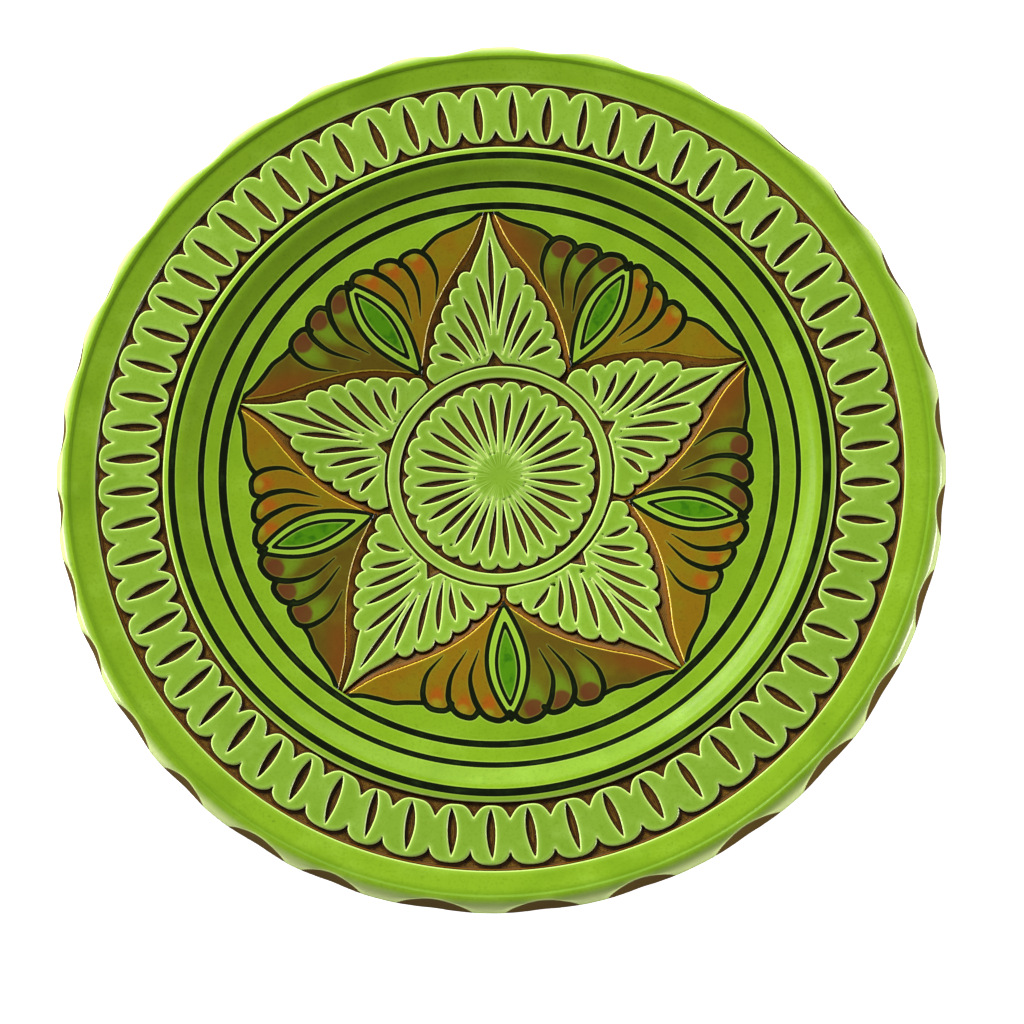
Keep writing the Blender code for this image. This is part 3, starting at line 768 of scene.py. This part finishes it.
def leaf_outline(number, jitter):
    """A leaf: lobes and spear up its right side, down its left, and along the ring's cut with a notch."""
    halves = []
    last = WAY_POINTS - 1
    for sign, valley in ((1, VALLEYS[number - 1]), (-1, VALLEYS[number])):
        shift = jitter[(sign + 1) // 2]
        notches = []
        for index, (share_of_way, inset) in enumerate(LEAF_NOTCHES):
            way = panel_side(valley, TIPS[number], inset + 0.3 * shift[index + 4])
            notches.append(way[int(max(0, share_of_way + 0.010 * shift[index]) * last)])
        side = lobes(np.array(notches), sign * (LEAF_LOBE + 0.25 * jitter[2][:6]), 1.25, (2.4, 0.60))
        spear = [panel_side(valley, TIPS[number], inset)[int(up * last)] for up, inset in LEAF_SPEAR]
        halves.append(np.vstack([side, curve(spear, 1.0)]))
    tip = polar(STAR - 0.9, TIPS[number])
    spreads = ((TIPS[number] - VALLEYS[number - 1]) % 360, (VALLEYS[number] - TIPS[number]) % 360)
    notch_half = 4.2
    foot, foot_after = (
        polar(LEAF_FOOT, TIPS[number] + sign * np.array([notch_half, 10, 20, spread - 2.2]))
        for sign, spread in zip((-1, 1), spreads)
    )
    notch = polar(LEAF_FOOT + 3.8, TIPS[number] + 0.6)[None]
    right, left = halves
    return np.vstack([right, tip[None], left[::-1], foot_after[::-1], notch, foot])


def star_leaf(number):
    """One leaf of the star with its fan of gouge cuts, and the clay bed between it and the panels."""
    jitter = HAND.uniform(-1, 1, (4, 12))
    bearing = TIPS[number]
    axis = polar(1, bearing)
    across = np.array([-axis[1], axis[0]])
    widths = [abs(VALLEYS[number - 1] - bearing) % 360, (VALLEYS[number] - bearing) % 360]
    widen = [min(width, 360 - width) / DRAWN_SPREAD for width in widths]
    cuts = []
    for index, ((aside_in, out_in), (aside, out)) in enumerate(LEAF_CUTS):
        for sign in (-1, 1) if index else (1,):
            wide = widen[sign > 0] * sign
            near_u = LEAF_FOOT + max(0.8, out_in + 0.9 * jitter[3][index])
            far_u = out + LEAF_FOOT + 0.7 * jitter[2][index + 5 * (sign > 0)]
            near = axis * near_u + across * wide * aside_in
            far = axis * far_u + across * wide * (aside + 0.3 * jitter[1][index])
            cuts.append(lens(near, far, LEAF_CUT_WIDTH, 0.60, -0.5 * sign * (index > 0), 0.75))
    leaf = Drawing([leaf_outline(number, jitter), *cuts])
    u, w, faces = square_grid((RING - 7.5, -27), (STAR + 2.5, 27), 0.33)
    x, y = u * axis[0] + w * across[0], u * axis[1] + w * across[1]
    sides = [panel_side(VALLEYS[number - 1], bearing), panel_side(VALLEYS[number], bearing)]
    away = nearest(tree_of(np.vstack(sides)), x, y)[1]
    inner_corners = polar(RING - 3, np.array([VALLEYS[number], VALLEYS[number - 1]]))
    open_ground = np.vstack([sides[0], sides[1][::-1], inner_corners])
    r = np.hypot(x, y)
    within = inside(x, y, open_ground)
    to_panel = np.where(within, away, -away)
    to_ring = r - RING
    depth = leaf.depth(x, y)
    z = face(x, y)
    keep = (within | (away < 1.0)) & (r > RING - 0.6) & (r < STAR + 1.2)
    faces = faces[keep.ravel()[faces].all(1)]
    name = f"star_leaf_{number + 1}"
    coat = touching(faces, depth > -0.5)
    lay(name, x, y, z - coat_drop(depth), coat, CARVED, [name], {"edge_mm": depth})
    wall = np.minimum(-depth, np.maximum(to_ring, 0) + 0.1)
    slope = np.clip(to_panel, 0, 3) / (np.clip(to_panel, 0, 3) + np.clip(-depth, 0.05, 3))
    beside = (to_panel < 4.6) & (r > LEAF_FOOT - 0.4)
    bed = np.where(beside, 0.45 + 0.95 * slope, gouge_bed(depth))
    warm = np.where(beside, np.clip((1.7 - to_panel) / 0.6, 0, 1), 0)
    sink = np.where(to_panel < 0, 1.0 - to_panel, 0)
    z = z - np.where(depth > 0, 1.3, bed) - sink
    marks = {"bed_mm": wall, "warm": warm, "ridge_highlight": np.clip(-depth / 1.6, 0, 1)}
    bed_faces = touching(faces, depth < 0.5)
    lay(f"leaf_bed_{number + 1}", x, y, z, bed_faces, CLAY, ["clay_body"], marks)


# The painted panels -------------------------------------------------------------------------------

# Brush lines of half a palmette, out from the valley and to the side, in mm; each ends in a tapering tail
LOBE_LINES = (
    ((36.2, 0.6), (38.0, 2.0), (38.6, 4.2), (37.2, 7.6))
    + ((34.2, 9.7), (30.2, 11.0), (24.3, 11.3), (16.4, 8.3)),
    ((35.0, 9.2), (36.6, 10.6), (36.8, 12.4), (35.6, 15.2))
    + ((33.2, 16.9), (29.5, 17.6), (23.2, 16.1), (15.9, 11.3)),
    ((32.6, 17.0), (34.3, 18.4), (34.6, 20.2), (33.9, 23.0))
    + ((32.0, 24.7), (28.4, 25.2), (22.9, 23.5), (17.5, 18.6)),
)
# How many points of each line bound the lobe
TOPS = (6, 6, 5)
# The wing's line from the last lobe to the tip: degrees from the tip, and mm in from the panel's edge
WING = ((14.8, 8.6), (13.6, 6.6), (10.8, 5.0), (7.3, 4.1), (4.2, 2.8), (2.2, 1.2), (0.6, -0.1))


def stroke(points, wide, tail=0.0):
    """A brush stroke along a smooth line, with half its width beside each point."""
    line = curve(points)
    t = np.linspace(0, 1, len(line))
    half = wide / 2 * np.clip(1 - tail * np.clip((t - 0.45) / 0.55, 0, 1) ** 1.3, 0, 1)
    return np.column_stack([line, half])


def almond(near, far, half, belly, lean=0.0):
    """A pointed oval between two distances out from the valley."""
    t = np.linspace(0, 1, 60)
    power = np.log(0.5) / np.log(belly)
    swell = half * np.sin(pi * t**power) ** 0.9
    u = near + (far - near) * t
    middle = lean * u
    return np.vstack([np.column_stack([u, middle + swell]), np.column_stack([u, middle - swell])[-2:0:-1]])


def painted_panel(number):
    """One field between two leaves with its palmette and seed, painted on the coat before the glaze."""
    jitter = HAND.uniform(-1, 1, (4, 12))
    valley = VALLEYS[number]
    before, after = TIPS[number], TIPS[(number + 1) % 5]
    after += 360 if after < valley else 0
    axis = polar(1, valley)
    across = np.array([-axis[1], axis[0]])
    # The seed leans a little anticlockwise
    lean = 0.035 + 0.012 * jitter[0][0]
    apex = axis * VALLEY
    u, w, faces = square_grid((-1.5, -53), (48, 53), 0.36)
    x, y = apex[0] + u * axis[0] + w * across[0], apex[1] + u * axis[1] + w * across[1]
    r = np.hypot(x, y)

    seed = almond(1.2, 38.2, 6.2, 0.53, lean)
    kernel = almond(8.0, 33.6, 3.3, 0.53, lean)
    strokes = []
    for edge, wide in ((seed, 1.35), (kernel, 1.05)):
        line = fill_in(edge)
        strokes.append(np.column_stack([line, np.full(len(line), wide / 2)]))

    def in_panel(points):
        """Plan points as distances out from the valley and to the side."""
        return np.column_stack([points @ axis - VALLEY, points @ across])

    halves = []
    for sign, spread in ((-1, valley - before), (1, after - valley)):
        widen = sign * spread / DRAWN_SPREAD
        tip = before if sign < 0 else after
        half = []
        for index, line in enumerate(LOBE_LINES):
            points = np.array(line) + 0.35 * jitter[1 + (sign > 0)][index]
            points = np.column_stack([points[:, 0], points[:, 1] * widen + lean * points[:, 0]])
            strokes.append(stroke(points, 1.75 + 0.15 * jitter[3][index], 0.85))
            half += list(points[:TOPS[index]])
        wing = in_panel(np.array([polar(PANEL - inset, tip - sign * degrees) for degrees, inset in WING]))
        wing[0] = half[-1]
        strokes.append(stroke(wing, 1.45))
        half += list(wing)
        halves.append(curve(half))
    side_before, side_after = (panel_side(valley, tip) for tip in (before, after))
    fan = np.vstack([in_panel(side_before), halves[0][::-1], halves[1], in_panel(side_after)[::-1]])

    away = nearest(tree_of(np.vstack([side_before, side_after])), x, y)[1]
    ground = np.vstack([side_before, polar(WELL + 3, np.linspace(before, after, 60)), side_after[::-1]])
    within = inside(x, y, ground)
    edge = np.where(within, away, -away)
    tuck = 0.5 * np.clip((r - PANEL + 0.1) / 0.5, 0, 1)
    z = face(x, y) - coat_drop(edge) - tuck
    in_fan = inside(u, w, fan)
    in_seed = inside(u, w, seed)
    kernel_tree = tree_of(fill_in(kernel))
    seed_mm = np.where(inside(u, w, kernel), 1, -1) * nearest(kernel_tree, u, w)[1]
    sideways = w - lean * u
    spots = {mark: 0 * u for mark in ("spot", "spot_brown", "bare_amber", "bare_brown")}

    def dab(mark, out, aside, long, wide, turned_by=0.35):
        """A soft dab of colour, longer along the lobe than across it."""
        du, dw = u - out, sideways - aside
        c, s = cos(turned_by * np.sign(aside)), sin(turned_by * np.sign(aside))
        soft = np.exp(-((du * c + dw * s) / long) ** 2 - ((dw * c - du * s) / wide) ** 2)
        spots[mark] = np.maximum(spots[mark], soft)

    wide_before, wide_after = (valley - before) / DRAWN_SPREAD, (after - valley) / DRAWN_SPREAD
    for index, (out, aside) in enumerate(((32.5, 6.3), (31.0, 13.7), (28.8, 21.3))):
        dab("spot", out + 1.2 + jitter[1][index], -aside * wide_before, 3.4, 2.4)
        dab("bare_amber", out + 3.4, (-aside - 0.2) * wide_before, 2.2, 2.4)
        dab("spot_brown", out + 2.2 + 0.5 * jitter[2][index], aside * wide_after, 3.3, 3.3)
        dab("bare_brown", out - 1.5, (aside + 0.3) * wide_after, 6.5, 3.2)
    dab("bare_brown", 33.5, 31 * wide_after, 2.6, 6.0, 0.2)
    spots["blush"] = np.clip((9 - edge) / 7, 0, 1) * np.clip((r - 58) / 14, 0, 1)
    marks = {"edge_mm": edge, "line_mm": brushed(strokes, u, w), "seed_mm": seed_mm}
    marks |= {"anticlockwise_mm": sideways, **spots}
    faces = touching(faces, edge > -0.5)
    faces = faces[(r.ravel()[faces] < WELL + 0.6).all(1)]
    seeded = in_seed.ravel()[faces].any(1)
    washed = in_fan.ravel()[faces].any(1) & ~seeded
    for kind, chosen, finish, slot in (
        ("field", ~seeded & ~washed, GREEN, "green_glaze"),
        ("palmette", washed, WASH, "amber_brown_wash"),
        ("palmette_seed", seeded, SEED, "deep_green_seed"),
    ):
        name = f"{kind}_{number + 1}"
        lay(name, x, y, z, faces[chosen], finish, [name], marks)


# The medallion ------------------------------------------------------------------------------------

ROSETTE_LOBE = 2.2
ROSETTE_CUT_WIDTH = 1.80
RING_INSIDE = RING - 2.7


def medallion():
    """The ring, the lobed rosette with its radial cuts, and the bed cut round them."""
    jitter = HAND.uniform(-1, 1, (5, ROSETTE_CUTS))
    starts = np.arange(ROSETTE_CUTS) * 360 / ROSETTE_CUTS + 1.0 * jitter[0]
    ends = np.append(starts[1:], starts[0] + 360)
    notches = polar(ROSETTE - ROSETTE_LOBE + 0.4 * jitter[1], starts)
    heights = ROSETTE_LOBE + 0.35 * jitter[2]
    loops = [lobes(np.vstack([notches, notches[:1]]), heights, 1.0, (2.6, 0.75))[:-1]]
    for start, end, a, b in zip(starts, ends, jitter[3], jitter[4]):
        middle = (start + end) / 2
        near = polar(7.3 + 0.8 * a, middle - 1.0 * b)
        far = polar(ROSETTE - 3.6 + 0.5 * b, middle + 0.6 * a)
        loops.append(lens(near, far, ROSETTE_CUT_WIDTH + 0.15 * a, 0.62, 0.25 * b, 0.85))
    rosette = Drawing(loops)
    x, y, faces = square_grid((-RING - 3, -RING - 3), (RING + 3, RING + 3), 0.33)
    r = np.hypot(x, y)
    depth = rosette.depth(x, y)
    z = face(x, y)
    faces = faces[(r.ravel()[faces] < RING + 2.5).all(1)]
    on_rosette = touching(faces, (depth > -0.5) & (r < ROSETTE + 1))
    marks = {"edge_mm": depth, "burst": np.clip((r - 2.0) / 3, 0, 1) * np.clip((13 - r) / 6, 0, 1)}
    coat_z = z - coat_drop(depth)
    nodes = ["centre_rosette"]
    lay("centre_rosette", x, y, coat_z, on_rosette, CARVED, nodes, marks)
    inner, outer = RING_INSIDE, RING_OUT
    wall = np.minimum(-depth, np.where(r < (inner + outer) / 2, inner - r, r - outer))
    hidden = (depth > 0) | ((r > inner) & (r < outer))
    warm = np.clip(1 - np.abs(r - outer - 1.0) / 0.6, 0, 1)
    marks = {"bed_mm": wall, "warm": warm * 0.7, "ridge_highlight": np.clip(wall / 1.6, 0, 1)}
    under_ring = (r > inner + 0.6) & (r < outer - 0.6)
    seen = touching(faces, ((depth < 0.5) | (r > ROSETTE)) & ~under_ring)
    seen = seen[(r.ravel()[seen] < LEAF_FOOT + 0.3).all(1)]
    z = z - np.where(hidden, 1.25, gouge_bed(depth))
    lay("medallion_bed", x, y, z, seen, CLAY, ["clay_body"], marks)
    r, turn, faces = ring_grid(np.arange(inner - 0.45, outer + 0.5, 0.14), 420)
    sway = wander(turn, 0.10, 41)
    edge = np.minimum(r - inner, outer - r) + 0 * turn
    r = r + sway
    x, y = r * np.cos(turn), r * np.sin(turn)
    z = face(x, y) - coat_drop(edge)
    nodes = ["medallion_ring"]
    lay("medallion_ring", x, y, z, faces, CARVED, nodes, {"edge_mm": edge})


# Studio -------------------------------------------------------------------------------------------

def studio_floor():
    """A pale matt table top under the plate."""
    mesh = bpy.data.meshes.new("studio_floor")
    corners = [(-3, -3, 0), (3, -3, 0), (3, 3, 0), (-3, 3, 0)]
    mesh.from_pydata(corners, [], [(0, 1, 2, 3)])
    material = bpy.data.materials.new("white_studio_paper")
    material.use_nodes = True
    shader = material.node_tree.nodes["Principled BSDF"]
    shader.inputs["Roughness"].default_value = 0.9
    shader.inputs["Specular IOR Level"].default_value = 0.1
    shader.inputs["Emission Color"].default_value = (1, 1, 1, 1)
    shader.inputs["Emission Strength"].default_value = 1.0
    fibre = share(material, grain(material, 4, 3), 0.3, 0.7)
    paper = laid_over(material, linear("#f6f6f6"), [("#fbfbfb", fibre)])
    material.node_tree.links.new(paper, shader.inputs["Base Color"])
    mesh.materials.append(material)
    floor = bpy.data.objects.new("studio_floor", mesh)
    floor.visible_glossy = False
    bpy.context.scene.collection.objects.link(floor)


def soft_light(name, azimuth, height, away, size, watts, glossy=True):
    """A soft box of this width and height; glossy says whether its reflection is seen in the glaze."""
    lamp = bpy.data.lights.new(name, "AREA")
    lamp.shape = "RECTANGLE"
    lamp.size, lamp.size_y = size
    lamp.energy = watts
    place = bpy.data.objects.new(name, lamp)
    turn, up = radians(azimuth), radians(height)
    spot = Vector((cos(up) * cos(turn), cos(up) * sin(turn), sin(up))) * away
    facing = (spot - Vector((0, 0, 0.02))).to_track_quat("Z", "Y")
    place.matrix_world = Matrix.Translation(spot) @ facing.to_matrix().to_4x4()
    place.visible_glossy = glossy
    bpy.context.scene.collection.objects.link(place)


def studio():
    """Floor, soft boxes and a dim white room; the key is far away, so that it lights the plate evenly."""
    studio_floor()
    soft_light("key_from_upper_left", 127, 28, 5, (1.5, 1.5), 415, False)
    soft_light("glint_from_upper_left", 150, 38, 1.6, (1.6, 0.10), 1.6)
    soft_light("sheen_from_the_back", 105, 30, 1.6, (2.0, 0.8), 3.5)
    soft_light("strip_on_the_left", 182, 12, 1.5, (0.9, 0.35), 12)
    soft_light("strip_on_the_right", -5, 12, 1.5, (0.9, 0.35), 16)
    world = bpy.data.worlds.new("studio_world")
    bpy.context.scene.world = world
    world.use_nodes = True
    background = world.node_tree.nodes["Background"]
    background.inputs["Color"].default_value = (1, 1, 1, 1)
    background.inputs["Strength"].default_value = 0.09
    bpy.context.scene.view_settings.view_transform = "Standard"


def camera():
    """The camera looks almost straight down, 14 degrees off the plate's axis."""
    lean = Matrix.Rotation(radians(14), 3, Vector((0.956, 0.29, 0)))
    right, up, back = lean.col
    spot = Vector((0, 0, 0.022)) + back * 1.17 + right * 0.0044 - up * 0.0134
    optics = bpy.data.cameras.new("camera")
    optics.lens = 136
    optics.sensor_width = 36
    optics.clip_end = 10
    view = bpy.data.objects.new("camera", optics)
    view.matrix_world = Matrix.Translation(spot) @ lean.to_4x4()
    bpy.context.scene.collection.objects.link(view)
    bpy.context.scene.camera = view


camera()
studio()
clay_body()
foot_ring()
rim_border()
petal_frieze()
turned_bands()
for number in range(5):
    star_leaf(number)
    painted_panel(number)
medallion()
